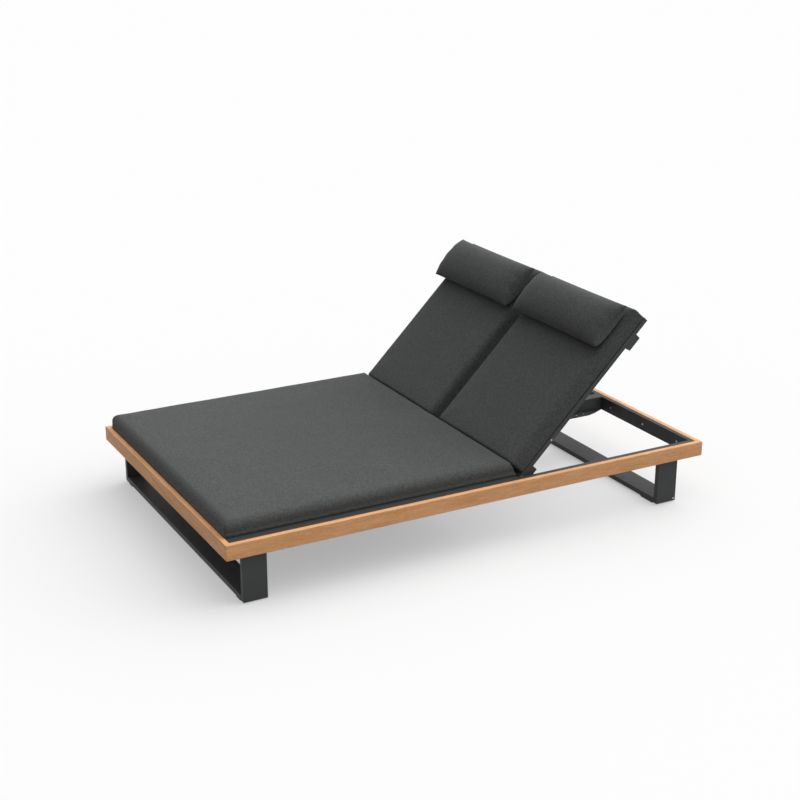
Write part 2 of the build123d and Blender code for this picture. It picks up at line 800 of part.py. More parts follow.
def backrest_parts():
    """Every rigid and soft piece of the left backrest, lying flat at its pivot."""
    outer_range = (back_outer_x - back_tube_width, back_outer_x)
    inner_range = (back_inner_x, back_inner_x + back_tube_width)
    bar_z = (back_face - bar_depth, back_face)
    bar_x = (back_inner_x, back_outer_x)
    return {
        "back_outer_tube": side_tube(outer_range),
        "back_inner_tube": side_tube(inner_range),
        "back_top_tube": box_section((inner_range[1], outer_range[0]),
                                     (back_length - back_tube_width, back_length), (back_face, front_face),
                                     "X", back_tube_wall, back_tube_rounding),
        "back_slats": back_slats(),
        "back_lower_bar": box_section(bar_x, (0, bar_width), bar_z, "X", bar_wall,
                                      bar_rounding, (False, True)),
        "back_upper_bar": box_section(bar_x, (upper_bar_start, upper_bar_end), bar_z, "X", bar_wall,
                                      bar_rounding, (False, True)),
        "pivot_bushes": group([pivot_bush(inner_range), pivot_bush(outer_range)]),
        "prop_lug": prop_lug(),
        "prop_pin": prop_pin(),
        "back_screws": frame_screws(),
        "back_cushion": back_cushion(),
        "head_pillow": head_pillow(),
        "pillow_strap": pillow_strap(),
    }


def frame_parts():
    """Every piece that stays still."""
    parts = {}
    for side in ("left", "right", "head", "foot"):
        parts["teak_" + side] = drilled(teak_board(side), side)
        parts["rail_" + side] = drilled(frame_rail(side), side)
    for side in ("left", "right"):
        rail = parts["rail_" + side]
        parts["rail_" + side] = pivot_hole(rail, pivot_bolt_radius + fit_clearance)
    parts["centre_beam"] = centre_beam()
    parts["seat_joist"] = seat_joist()
    parts["pivot_cross_beam"] = pivot_cross_beam()
    parts["slat_ledges"] = group([slat_ledge(), mirrored(slat_ledge())])
    parts["seat_slats"] = seat_slats()
    parts["seat_side_bars"] = group([seat_side_bar(), mirrored(seat_side_bar())])
    parts["rack_left"] = rack()
    parts["rack_right"] = mirrored(rack())
    parts["rest_ledges"] = group([rest_ledge(), mirrored(rest_ledge())])
    parts["rest_pads"] = group([rest_pad(), mirrored(rest_pad())])
    for end, y_range in (("foot", foot_sled_y), ("head", head_sled_y)):
        leg = sled_piece("leg", y_range)
        parts[end + "_runner"] = sled_piece("runner", y_range)
        parts[end + "_leg_left"] = leg
        parts[end + "_leg_right"] = mirrored(leg)
    parts["glides"] = glides()
    parts["sled_screws"] = sled_screws()
    parts["trim_screws"] = group([trim_screw(place) for place in trim_screw_places()])
    bolts = [outer_pivot_bolt(), mirrored(outer_pivot_bolt()), inner_pivot_bolt()]
    parts["pivot_bolts"] = group(bolts)
    parts["pivot_spacers"] = pivot_spacers()
    parts["seat_cushion"] = seat_cushion()
    return parts


def build():
    """All nodes of the lounger by name."""
    parts = frame_parts()
    for name, shape in backrest_parts().items():
        shape = raised(shape)
        parts["left_" + name] = shape
        parts["right_" + name] = mirrored(shape)
    parts["left_prop_rod"] = prop_rod()
    parts["right_prop_rod"] = mirrored(prop_rod())
    return parts


os.makedirs("parts", exist_ok=True)
for node, solid in build().items():
    export_step(solid, "parts/" + node + ".step")
print("prop slope at rest, degrees", round(prop_slope, 4))
print("prop hinge at rest", round(hinge_y, 3), round(hinge_z, 3))
print("foot at rest", round(rest_foot_y, 3), "rack pitch", round(rack_pitch, 3))
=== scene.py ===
import json
import math

import bpy
from mathutils import Matrix, Vector, noise


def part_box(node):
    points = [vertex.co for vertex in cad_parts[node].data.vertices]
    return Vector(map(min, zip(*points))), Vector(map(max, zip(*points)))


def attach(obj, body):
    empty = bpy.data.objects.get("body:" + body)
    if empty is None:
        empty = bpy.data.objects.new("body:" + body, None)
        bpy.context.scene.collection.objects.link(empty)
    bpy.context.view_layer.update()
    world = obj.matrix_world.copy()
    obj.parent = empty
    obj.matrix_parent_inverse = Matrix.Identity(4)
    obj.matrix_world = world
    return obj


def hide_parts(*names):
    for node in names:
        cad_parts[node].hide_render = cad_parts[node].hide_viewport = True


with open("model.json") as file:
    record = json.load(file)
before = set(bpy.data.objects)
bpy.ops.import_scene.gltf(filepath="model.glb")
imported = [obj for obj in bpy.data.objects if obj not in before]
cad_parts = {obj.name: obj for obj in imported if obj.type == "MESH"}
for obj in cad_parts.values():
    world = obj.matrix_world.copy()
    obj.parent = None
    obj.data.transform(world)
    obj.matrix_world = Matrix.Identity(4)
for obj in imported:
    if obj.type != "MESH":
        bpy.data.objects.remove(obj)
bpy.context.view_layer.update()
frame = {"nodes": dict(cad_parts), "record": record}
nodes = frame["nodes"]
scene = bpy.context.scene

# The backrests turn about the line along X through this point, and are raised by this angle at rest
PIVOT = Vector((0.0, 0.202, 0.244))
REST_ANGLE = math.radians(45)
RAISED = Matrix.Translation(PIVOT) @ Matrix.Rotation(REST_ANGLE, 4, "X")


# Node helpers
def new_material(name):
    """A material with a Principled BSDF: returns the material, its tree and the shader."""
    material = bpy.data.materials.new(name)
    material.use_nodes = True
    tree = material.node_tree
    return material, tree, tree.nodes["Principled BSDF"]


def add(tree, kind, **values):
    """A node of a kind, with its properties set by name."""
    node = tree.nodes.new("ShaderNode" + kind)
    for key, value in values.items():
        setattr(node, key, value)
    return node


def put(tree, socket, value):
    """Links an output to a socket, or sets the socket's value."""
    if isinstance(value, bpy.types.NodeSocket):
        tree.links.new(value, socket)
    else:
        socket.default_value = value


def math_node(tree, operation, a, b=0.0, c=0.0):
    """The output of a Math node."""
    node = add(tree, "Math", operation=operation)
    for socket, value in zip(node.inputs, (a, b, c)):
        put(tree, socket, value)
    return node.outputs[0]


def noise_at(tree, vector, scale=1.0, detail=2.0, roughness=0.5):
    """The value of a noise texture. The scale is in cells per unit of the vector."""
    node = add(tree, "TexNoise")
    put(tree, node.inputs["Vector"], vector)
    node.inputs["Scale"].default_value = scale
    node.inputs["Detail"].default_value = detail
    node.inputs["Roughness"].default_value = roughness
    return node.outputs["Fac"]


def ramp(tree, value, stops):
    """A colour ramp: stops are (place, grey or colour)."""
    node = add(tree, "ValToRGB")
    put(tree, node.inputs["Fac"], value)
    elements = node.color_ramp.elements
    while len(elements) < len(stops):
        elements.new(0.5)
    for element, (place, colour) in zip(elements, stops):
        element.position = place
        if isinstance(colour, (int, float)):
            colour = (colour, colour, colour)
        element.color = (*colour, 1.0)
    return node.outputs["Color"]


def mix_colour(tree, share, a, b, blend_type="MIX"):
    """Mixes two colours."""
    node = add(tree, "Mix", data_type="RGBA", blend_type=blend_type)
    for index, value in ((0, share), (6, a), (7, b)):
        if isinstance(value, tuple) and len(value) == 3:
            value = (*value, 1.0)
        put(tree, node.inputs[index], value)
    return node.outputs[2]


def mapped(tree, rotation=(0, 0, 0), scale=(1, 1, 1), location=(0, 0, 0)):
    """Object coordinates, turned, and then scaled and moved."""
    coords = add(tree, "TexCoord")
    turn = add(tree, "Mapping")
    turn.inputs["Rotation"].default_value = rotation
    put(tree, turn.inputs["Vector"], coords.outputs["Object"])
    stretch = add(tree, "Mapping")
    stretch.inputs["Scale"].default_value = scale
    stretch.inputs["Location"].default_value = location
    put(tree, stretch.inputs["Vector"], turn.outputs[0])
    return stretch.outputs[0]


def bump(tree, shader, height, strength, distance, normal=None):
    """A bump node on the shader's normal, over the normal that is given: returns the new normal."""
    node = add(tree, "Bump")
    node.inputs["Strength"].default_value = strength
    node.inputs["Distance"].default_value = distance
    put(tree, node.inputs["Height"], height)
    if normal is not None:
        put(tree, node.inputs["Normal"], normal)
    put(tree, shader.inputs["Normal"], node.outputs[0])
    return node.outputs[0]


# Materials, with sizes in metres and noise in cells per metre
WEAVE_PITCH = 0.0012
RIB_PITCH = 0.0016
YARN_ALONG, YARN_ACROSS = 90, 700
COARSE_EDGE, FINE_EDGE = 0.0016, 0.001
TEAK_SHADES = ((0.3, (0.75, 0.36, 0.15)), (0.5, (0.85, 0.425, 0.188)), (0.72, (0.92, 0.49, 0.23)))
TEAK_GREY = (0.3, 0.22, 0.17)


def weave_height(tree, vector, pitch):
    """Height of a plain weave of threads, on planes square to each axis."""
    parts = add(tree, "SeparateXYZ")
    put(tree, parts.inputs[0], vector)
    waves = []
    for out in parts.outputs:
        waves.append(math_node(tree, "SINE", math_node(tree, "MULTIPLY", out, math.pi / pitch)))
    first = math_node(tree, "MULTIPLY", waves[0], waves[1])
    second = math_node(tree, "MULTIPLY", waves[1], waves[2])
    third = math_node(tree, "MULTIPLY", waves[2], waves[0])
    return math_node(tree, "ADD", math_node(tree, "ADD", first, second), third)


def fabric_material(name, colour, angle):
    """Outdoor cloth: a plain weave of flecked yarn. The angle is the slope of the piece."""
    material, tree, shader = new_material(name)
    rotation = (-angle, 0, 0)
    plain = mapped(tree, rotation)
    along = noise_at(tree, mapped(tree, rotation, (YARN_ACROSS, YARN_ALONG, YARN_ACROSS)), detail=1.0)
    across_place = mapped(tree, rotation, (YARN_ALONG, YARN_ACROSS, YARN_ALONG), (3, 5, 7))
    across = noise_at(tree, across_place, detail=1.0)
    yarn = math_node(tree, "MULTIPLY", math_node(tree, "ADD", along, across), 0.5)
    flecks = ramp(tree, yarn, ((0.36, 0.62), (0.5, 0.97), (0.66, 1.5)))
    patches = ramp(tree, noise_at(tree, plain, scale=9.0, detail=3.0), ((0.3, 0.975), (0.7, 1.025)))
    colour = mix_colour(tree, 1.0, colour, flecks, "MULTIPLY")
    colour = mix_colour(tree, 1.0, colour, patches, "MULTIPLY")
    put(tree, shader.inputs["Base Color"], colour)
    shader.inputs["Roughness"].default_value = 0.9
    shader.inputs["Specular IOR Level"].default_value = 0.12
    shader.inputs["Sheen Weight"].default_value = 0.1
    shader.inputs["Sheen Roughness"].default_value = 0.5
    weave = bump(tree, shader, weave_height(tree, plain, WEAVE_PITCH), strength=0.35, distance=0.0004)
    unevenness = noise_at(tree, plain, scale=160.0, detail=3.0)
    bump(tree, shader, unevenness, strength=0.12, distance=0.0008, normal=weave)
    return material


def grain_scale(along, slow, fast):
    """The scale of a noise with few cells along the grain and many across it."""
    return (slow, fast, fast) if along == "X" else (fast, slow, fast)


def teak_material(name, along):
    """Oiled teak with straight grain along "X" or "Y"."""
    material, tree, shader = new_material(name)
    band_place = mapped(tree, scale=grain_scale(along, 5, 46), location=(3.1, 1.7, 0.4))
    bands = noise_at(tree, band_place, detail=4.0, roughness=0.62)
    base = ramp(tree, bands, TEAK_SHADES)
    line_place = mapped(tree, scale=grain_scale(along, 22, 420))
    lines = ramp(tree, noise_at(tree, line_place, detail=2.0), ((0.35, 0.88), (0.6, 1.05)))
    pit_place = mapped(tree, scale=grain_scale(along, 90, 900))
    pits = ramp(tree, noise_at(tree, pit_place, detail=1.0), ((0.3, 0.66), (0.4, 1.0)))
    stain_place = mapped(tree, scale=(60, 60, 95))
    stains = ramp(tree, noise_at(tree, stain_place, detail=2.0), ((0.64, 0.0), (0.74, 0.4)))
    colour = mix_colour(tree, 1.0, base, lines, "MULTIPLY")
    colour = mix_colour(tree, 1.0, colour, pits, "MULTIPLY")
    colour = mix_colour(tree, stains, colour, TEAK_GREY)
    put(tree, shader.inputs["Base Color"], colour)
    put(tree, shader.inputs["Roughness"], ramp(tree, bands, ((0.3, 0.62), (0.7, 0.5))))
    shader.inputs["Specular IOR Level"].default_value = 0.4
    bevel = add(tree, "Bevel", samples=4)
    bevel.inputs["Radius"].default_value = COARSE_EDGE
    grain = math_node(tree, "ADD", lines, pits)
    bump(tree, shader, grain, strength=0.3, distance=0.0004, normal=bevel.outputs[0])
    return material


def coat_material(name, colour):
    """Matt powder coat with a fine orange peel."""
    material, tree, shader = new_material(name)
    plain = mapped(tree)
    patches = ramp(tree, noise_at(tree, plain, scale=7.0, detail=3.0), ((0.3, 0.93), (0.7, 1.06)))
    specks = ramp(tree, noise_at(tree, plain, scale=1400.0, detail=1.0), ((0.4, 0.88), (0.66, 1.16)))
    colour = mix_colour(tree, 1.0, colour, patches, "MULTIPLY")
    colour = mix_colour(tree, 1.0, colour, specks, "MULTIPLY")
    put(tree, shader.inputs["Base Color"], colour)
    dullness = ramp(tree, noise_at(tree, plain, scale=30.0, detail=3.0), ((0.3, 0.5), (0.7, 0.6)))
    put(tree, shader.inputs["Roughness"], dullness)
    shader.inputs["Specular IOR Level"].default_value = 0.36
    bevel = add(tree, "Bevel", samples=4)
    bevel.inputs["Radius"].default_value = FINE_EDGE
    peel = noise_at(tree, plain, scale=900.0, detail=2.0)
    bump(tree, shader, peel, strength=0.22, distance=0.0003, normal=bevel.outputs[0])
    return material


def steel_material(name):
    """Brushed stainless steel."""
    material, tree, shader = new_material(name)
    streaks = noise_at(tree, mapped(tree, scale=(200, 2600, 2600)), detail=2.0)
    put(tree, shader.inputs["Base Color"], ramp(tree, streaks, ((0.3, 0.38), (0.7, 0.54))))
    put(tree, shader.inputs["Roughness"], ramp(tree, streaks, ((0.3, 0.34), (0.7, 0.5))))
    shader.inputs["Metallic"].default_value = 1.0
    bump(tree, shader, streaks, strength=0.12, distance=0.0002)
    return material


def moulded_material(name, colour, roughness):
    """Moulded plastic or rubber with a fine grain."""
    material, tree, shader = new_material(name)
    plain = mapped(tree)
    grain = noise_at(tree, plain, scale=1800.0, detail=2.0)
    shade = ramp(tree, noise_at(tree, plain, scale=40.0, detail=3.0), ((0.3, 0.85), (0.7, 1.15)))
    put(tree, shader.inputs["Base Color"], mix_colour(tree, 1.0, colour, shade, "MULTIPLY"))
    dullness = ramp(tree, grain, ((0.3, roughness - 0.06), (0.7, roughness + 0.06)))
    put(tree, shader.inputs["Roughness"], dullness)
    bump(tree, shader, grain, strength=0.25, distance=0.0003)
    return material


def webbing_material(name, colour, angle):
    """Ribbed polyester webbing. The angle is the slope of the piece."""
    material, tree, shader = new_material(name)
    rotation = (-angle, 0, 0)
    plain = mapped(tree, rotation)
    parts = add(tree, "SeparateXYZ")
    put(tree, parts.inputs[0], plain)
    ribs = math_node(tree, "SINE", math_node(tree, "MULTIPLY", parts.outputs[0], 2 * math.pi / RIB_PITCH))
    yarn_place = mapped(tree, rotation, (900, 200, 200))
    yarn = ramp(tree, noise_at(tree, yarn_place, detail=1.0), ((0.3, 0.7), (0.7, 1.3)))
    put(tree, shader.inputs["Base Color"], mix_colour(tree, 1.0, colour, yarn, "MULTIPLY"))
    shader.inputs["Roughness"].default_value = 0.75
    shader.inputs["Sheen Weight"].default_value = 0.1
    bump(tree, shader, ribs, strength=0.5, distance=0.0004)
    return material


CHARCOAL = (0.0765, 0.081, 0.079)
ANTHRACITE = (0.0435, 0.046, 0.046)
WEBBING_BLACK = (0.03, 0.032, 0.032)
fabric_flat = fabric_material("fabric_flat", CHARCOAL, 0)
fabric_raised = fabric_material("fabric_raised", CHARCOAL, REST_ANGLE)
teak_x = teak_material("teak_x", "X")
teak_y = teak_material("teak_y", "Y")
coat = coat_material("anthracite_coat", ANTHRACITE)
steel = steel_material("stainless_steel")
nylon = moulded_material("black_nylon", (0.02, 0.02, 0.02), 0.5)
rubber = moulded_material("black_rubber", (0.014, 0.014, 0.014), 0.75)
webbing = webbing_material("strap_webbing", WEBBING_BLACK, REST_ANGLE)

SLOT_MATERIALS = {
    "frame_metal": coat,
    "stainless_steel": steel,
    "glide_plastic": nylon,
    "bush_nylon": nylon,
    "pad_rubber": rubber,
    "strap_webbing": webbing,
    "cushion_fabric": fabric_flat,
}
slots = {part["node"]: part["material_slot"] for part in frame["record"]["subparts"]}
for name, node in nodes.items():
    if name in ("teak_head", "teak_foot"):
        material = teak_x
    elif slots[name] == "teak":
        material = teak_y
    else:
        material = SLOT_MATERIALS[slots[name]]
    node.data.materials.clear()
    node.data.materials.append(material)


# Meshes
# An edge that is rounded by more than the wide radius gets the wide steps
WIDE_RADIUS = 0.015
WIDE_STEPS, NARROW_STEPS = 6, 3
# The rows of a cushion's side: (height above the base, depth of the seam), then shares of the height left
SEAM_ROWS = ((0.0, 0.0), (0.0026, 0.0), (0.0042, 0.0009), (0.0058, 0.0))
SIDE_SHARES = (0.2, 0.4, 0.6, 0.8, 1.0)
# How strongly each form gathers at the edges of a cushion
SWELL_POWER, DRAW_POWER, LEAN_POWER = 7, 3, 30
# The cloth simulation: its pressure and frames, how far a point may move, and the height below which
# a point is held
PRESSURE = 4.0
FRAMES = 20
PAD_CAP, PILLOW_CAP = 0.0025, 0.005
PAD_HELD_BELOW, PILLOW_HELD_BELOW = 0.012, -0.036
# The unevenness of the stuffing: cells per metre of a broad and a fine noise, and the share of the fine one
BROAD_CELLS, FINE_CELLS, FINE_SHARE = 5, 17, 0.3


def mesh_object(name, points, faces, material, smooth=True):
    """A mesh object at the origin."""
    mesh = bpy.data.meshes.new(name)
    mesh.from_pydata([tuple(point) for point in points], [], faces)
    mesh.update()
    if smooth:
        mesh.shade_smooth()
    mesh.materials.append(material)
    made = bpy.data.objects.new(name, mesh)
    scene.collection.objects.link(made)
    return made


def rounding(radius, distance):
    """How far a rounded edge lies behind its flat face, at a distance from the end that it rounds."""
    short = max(0.0, radius - distance)
    return radius - math.sqrt(radius ** 2 - short ** 2)


def both(a, b):
    """The drop where two rounded edges meet."""
    return (max(0.0, a) ** 3 + max(0.0, b) ** 3) ** (1 / 3)


def grid_line(half, low_radius, high_radius, pitch):
    """Places from -half to half, close together where the edges are rounded."""
    rows = []
    for radius in (low_radius, high_radius):
        count = WIDE_STEPS if radius > WIDE_RADIUS else NARROW_STEPS
        rows.append([radius * (1 - math.cos(math.pi / 2 * index / count)) for index in range(count + 1)])
    low = [-half + distance for distance in rows[0]]
    high = [half - distance for distance in reversed(rows[1])]
    inner = high[0] - low[-1]
    count = max(2, round(inner / pitch))
    return low + [low[-1] + inner * index / count for index in range(1, count)] + high


def pad_mesh(size, radii, corners, low_radius, crown, draw, bulge, pitch, lean=0.0):
    """Points and faces of a box cushion about the middle of its plan, with its base at zero height.

    The radii are those of the top edge along the sides, at the low end and at the high end.
    The corners are the radii of the plan at the low end and at the high end.
    The low radius is that of the base's edge, and the pitch is the size of the faces.
    The crown is how far the top rises, the draw how far the sides pull in between the
    corners, and the bulge how far they swell half way up.
    The lean is how far the base reaches past the top at the high end."""
    half_x, half_y, height = size[0] / 2, size[1] / 2, size[2]
    side, low_end, high_end = radii
    columns = grid_line(half_x, side, side, pitch)
    rows = grid_line(half_y, low_end, high_end, pitch)
    index_of = {}
    points = []

    def plan(u, v):
        """The plan with rounded corners."""
        corner = corners[0] if v < 0 else corners[1]
        inner_u = max(-half_x + corner, min(half_x - corner, u))
        inner_v = max(-half_y + corner, min(half_y - corner, v))
        away_u, away_v = u - inner_u, v - inner_v
        long = math.hypot(away_u, away_v)
        if long == 0:
            return u, v
        scale = max(abs(away_u), abs(away_v)) / long
        return inner_u + away_u * scale, inner_v + away_v * scale

    def top_at(u, v):
        """The height of the top face."""
        end = low_end if v < 0 else high_end
        return height - both(rounding(side, half_x - abs(u)), rounding(end, half_y - abs(v)))

    def low_at(u, v):
        """The height of the base, which rises at its edge."""
        return both(rounding(low_radius, half_x - abs(u)), rounding(low_radius, half_y - abs(v)))

    def shape(u, v, level):
        """The point at a place of the plan, on the base, on the top or on a row of the side."""
        x, y = plan(u, v)
        low, high = low_at(u, v), top_at(u, v)
        groove = 0.0
        if level == "low":
            z = low
        elif level == "top":
            z = high
        elif level < len(SEAM_ROWS):
            z, groove = low + SEAM_ROWS[level][0], SEAM_ROWS[level][1]
        else:
            start = low + SEAM_ROWS[-1][0]
            z = start + (high - start) * SIDE_SHARES[level - len(SEAM_ROWS)]
        share_x, share_y, share_z = x / half_x, y / half_y, z / height
        full_x, full_y = 1 - share_x ** 2, 1 - share_y ** 2
        swell = bulge * math.sin(math.pi * min(1.0, max(0.0, share_z))) - groove
        x += share_x ** SWELL_POWER * swell - share_x ** DRAW_POWER * draw * max(0.0, full_y)
        y += share_y ** SWELL_POWER * swell - share_y ** DRAW_POWER * draw * max(0.0, full_x)
        z += crown * max(0.0, full_x) ** 0.5 * max(0.0, full_y) ** 0.5 * share_z ** 2
        if share_y > 0:
            y += lean * share_y ** LEAN_POWER * (1 - share_z)
        return Vector((x, y, z))

    def vertex(i, j, level):
        """One shared point for each place on the box."""
        edge = i in (0, len(columns) - 1) or j in (0, len(rows) - 1)
        if edge and level == "low":
            level = 0
        if edge and level == "top":
            level = len(SEAM_ROWS) + len(SIDE_SHARES) - 1
        key = (i, j, level)
        if key not in index_of:
            index_of[key] = len(points)
            points.append(shape(columns[i], rows[j], level))
        return index_of[key]

    faces = []
    last_i, last_j = len(columns) - 1, len(rows) - 1
    for i in range(last_i):
        for j in range(last_j):
            faces.append((vertex(i, j, "low"), vertex(i, j + 1, "low"),
                          vertex(i + 1, j + 1, "low"), vertex(i + 1, j, "low")))
            faces.append((vertex(i, j, "top"), vertex(i + 1, j, "top"),
                          vertex(i + 1, j + 1, "top"), vertex(i, j + 1, "top")))
    rim = [(i, 0) for i in range(last_i)] + [(last_i, j) for j in range(last_j)]
    rim += [(i, last_j) for i in range(last_i, 0, -1)] + [(0, j) for j in range(last_j, 0, -1)]
    for (i, j), (next_i, next_j) in zip(rim, rim[1:] + rim[:1]):
        for level in range(len(SEAM_ROWS) + len(SIDE_SHARES) - 1):
            faces.append((vertex(i, j, level), vertex(next_i, next_j, level),
                          vertex(next_i, next_j, level + 1), vertex(i, j, level + 1)))
    return points, faces


def inflate(piece, cap, held):
    """Blows a closed piece up as cloth, and moves no point further than the cap. The held points stay."""
    mesh = piece.data
    rest = [vertex.co.copy() for vertex in mesh.vertices]
    group = piece.vertex_groups.new(name="held")
    group.add([index for index, point in enumerate(rest) if held(point)], 1.0, "REPLACE")
    cloth = piece.modifiers.new("Cloth", "CLOTH")
    settings = cloth.settings
    settings.quality = 5
    settings.mass = 0.3
    settings.tension_stiffness = 15
    settings.compression_stiffness = 15
    settings.shear_stiffness = 8
    settings.bending_stiffness = 0.8
    settings.use_pressure = True
    settings.uniform_pressure_force = PRESSURE
    settings.vertex_group_mass = "held"
    settings.effector_weights.gravity = 0
    cloth.point_cache.frame_start = 1
    cloth.point_cache.frame_end = FRAMES
    for number in range(1, FRAMES + 1):
        scene.frame_set(number)
    graph = bpy.context.evaluated_depsgraph_get()
    moved = [vertex.co.copy() for vertex in piece.evaluated_get(graph).data.vertices]
    piece.modifiers.remove(cloth)
    piece.vertex_groups.clear()
    scene.frame_set(1)
    for vertex, start, end in zip(mesh.vertices, rest, moved):
        step = end - start
        if step.length > cap:
            step = step.normalized() * cap
        vertex.co = start + step
    mesh.update()


def refine(piece):
    """One level of subdivision."""
    subdivision = piece.modifiers.new("Subdivision", "SUBSURF")
    subdivision.levels = 1
    subdivision.render_levels = 1


def settle(piece, height, amount, seed):
    """Slight unevenness of the stuffing, nothing at the base. The seed shifts its pattern."""
    for vertex in piece.data.vertices:
        place = vertex.co
        share = min(1.0, max(0.0, place.z / height)) ** 2
        broad = noise.noise(Vector((place.x * BROAD_CELLS + seed, place.y * BROAD_CELLS, 0.3)))
        fine = noise.noise(Vector((place.x * FINE_CELLS, place.y * FINE_CELLS + seed, 0.7)))
        place.z += share * (amount * broad + FINE_SHARE * amount * fine)


def twin(piece, name, shift):
    """The same piece on the other backrest."""
    made = bpy.data.objects.new(name, piece.data.copy())
    scene.collection.objects.link(made)
    made.data.transform(Matrix.Translation((-shift, 0, 0)))
    return made


# Seat cushion, trimmed because it swells. Its rear end leans back under the raised back cushions.
SEAT_TRIM_X, SEAT_TRIM_Y, SEAT_TRIM_Z = 0.001, 0.0005, 0.0055
seat_low, seat_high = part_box("seat_cushion")
SEAT_SIZE = (seat_high.x - seat_low.x - SEAT_TRIM_X, seat_high.y - seat_low.y - SEAT_TRIM_Y,
             seat_high.z - seat_low.z - SEAT_TRIM_Z)
SEAT_PLACE = ((seat_low.x + seat_high.x) / 2, (seat_low.y + seat_high.y) / 2, seat_low.z)
points, faces = pad_mesh(SEAT_SIZE, radii=(0.026, 0.028, 0.006), corners=(0.012, 0.003), low_radius=0.005,
                         crown=0.003, draw=0.001, bulge=0.0012, pitch=0.014, lean=0.025)
seat = mesh_object("seat_cushion_cover", points, faces, fabric_flat)
inflate(seat, PAD_CAP, lambda point: point.z < PAD_HELD_BELOW)
settle(seat, SEAT_SIZE[2], amount=0.0012, seed=4.0)
seat.data.transform(Matrix.Translation(SEAT_PLACE))
refine(seat)
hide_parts("seat_cushion")
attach(seat, "frame")


# Back cushions, lying on the front faces of the backrests. Their places are those of a flat left
# backrest, measured from the middle of the lounger and from the line of the pivots.
BACK_LOW_X, BACK_HIGH_X = 0.026, 0.62
BACK_START, BACK_END = 0.015, 0.795
BACK_FRONT = 0.0103
BACK_THICKNESS = 0.0672
BACK_TRIM_X, BACK_TRIM_Y = 0.002, 0.001
BACK_SIZE = (BACK_HIGH_X - BACK_LOW_X - BACK_TRIM_X, BACK_END - BACK_START - BACK_TRIM_Y, BACK_THICKNESS)
BACK_SHIFT = BACK_LOW_X + BACK_HIGH_X
points, faces = pad_mesh(BACK_SIZE, radii=(0.024, 0.009, 0.015), corners=(0.012, 0.006), low_radius=0.005,
                         crown=0.003, draw=0.0015, bulge=0.0012, pitch=0.012)
back = mesh_object("left_back_cover", points, faces, fabric_raised)
inflate(back, PAD_CAP, lambda point: point.z < PAD_HELD_BELOW)
settle(back, BACK_SIZE[2], amount=0.001, seed=9.0)
back_place = Matrix.Translation(((BACK_LOW_X + BACK_HIGH_X) / 2, (BACK_START + BACK_END) / 2, BACK_FRONT))
back.data.transform(RAISED @ back_place)
back_right = twin(back, "right_back_cover", BACK_SHIFT)
for piece, side in ((back, "left"), (back_right, "right")):
    refine(piece)
    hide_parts(side + "_back_cushion")
    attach(piece, side + "_back")


# Head pillows: two panels that meet in a seam, with an ear at each corner. Their places are measured
# as those of the back cushions are, and the heights above and below are from the seam.
PILLOW_MIDDLE = 0.3245
PILLOW_HALF_LENGTH = 0.2975
PILLOW_LOW, PILLOW_HIGH = 0.5685, 0.773
PILLOW_HALF_WIDTH = (PILLOW_HIGH - PILLOW_LOW) / 2
PILLOW_EAR = 0.02
PILLOW_SEAM = 0.1188
PILLOW_ABOVE, PILLOW_BELOW = 0.057, 0.0395
PILLOW_STEPS_U, PILLOW_STEPS_V = 54, 22
END_DRAW_SHARE, SIDE_DRAW_SHARE = 0.03, 0.05
PUCKER_DEPTH = 0.0022
SEAM_TOLERANCE = 0.00001
CORNER_TOLERANCE = 0.0005


def eased(share, ease):
    """A place from -1 to 1 that moves closer to the ends as the ease grows."""
    return (1 - ease) * share + ease * math.sin(share * math.pi / 2)


def pucker(along, towards, waves, phase, reach):
    """Small folds along a seam that fade with the distance from it."""
    return math.sin(along * waves + phase) * math.exp(-((1 - abs(towards)) / reach) ** 2)


def pillow_mesh():
    """Points and faces of a pillow about its middle, with the seam at zero height."""
    points = []
    faces = []
    index_of = {}

    def place(i, j, side):
        """The point at a place of the plan, above the seam, on it or below it."""
        u = eased(-1 + 2 * i / PILLOW_STEPS_U, 0.45)
        v = eased(-1 + 2 * j / PILLOW_STEPS_V, 0.65)
        x = PILLOW_HALF_LENGTH * (u - math.copysign(abs(u) ** 9, u) * END_DRAW_SHARE * (1 - v * v))
        y = PILLOW_HALF_WIDTH * (v - math.copysign(abs(v) ** 7, v) * SIDE_DRAW_SHARE * (1 - u ** 4))
        full = math.sqrt(max(0.0, 1 - abs(u) ** 6)) * max(0.0, 1 - abs(v) ** 2.1) ** 0.54
        folds = pucker(v, u, waves=11, phase=2, reach=0.13) * max(0.0, 1 - v * v)
        folds += 0.5 * pucker(u, v, waves=31, phase=1, reach=0.2) * max(0.0, 1 - u ** 4)
        if side > 0:
            z = PILLOW_ABOVE * full + PUCKER_DEPTH * folds * min(1.0, full * 3)
        else:
            z = -PILLOW_BELOW * (1 - max(0.0, 1 - 1.35 * full) ** 1.7)
        return Vector((x, y, z))

    def vertex(i, j, side):
        """One shared point for each place, and one for both panels on the seam."""
        if i in (0, PILLOW_STEPS_U) or j in (0, PILLOW_STEPS_V):
            side = 0
        key = (i, j, side)
        if key not in index_of:
            index_of[key] = len(points)
            points.append(place(i, j, side))
        return index_of[key]

    for i in range(PILLOW_STEPS_U):
        for j in range(PILLOW_STEPS_V):
            faces.append((vertex(i, j, 1), vertex(i + 1, j, 1),
                          vertex(i + 1, j + 1, 1), vertex(i, j + 1, 1)))
            faces.append((vertex(i, j, -1), vertex(i, j + 1, -1),
                          vertex(i + 1, j + 1, -1), vertex(i + 1, j, -1)))
    return points, faces


points, faces = pillow_mesh()
pillow = mesh_object("left_pillow_cover", points, faces, fabric_raised)
on_seam = {vertex.index for vertex in pillow.data.vertices if abs(vertex.co.z) < SEAM_TOLERANCE}


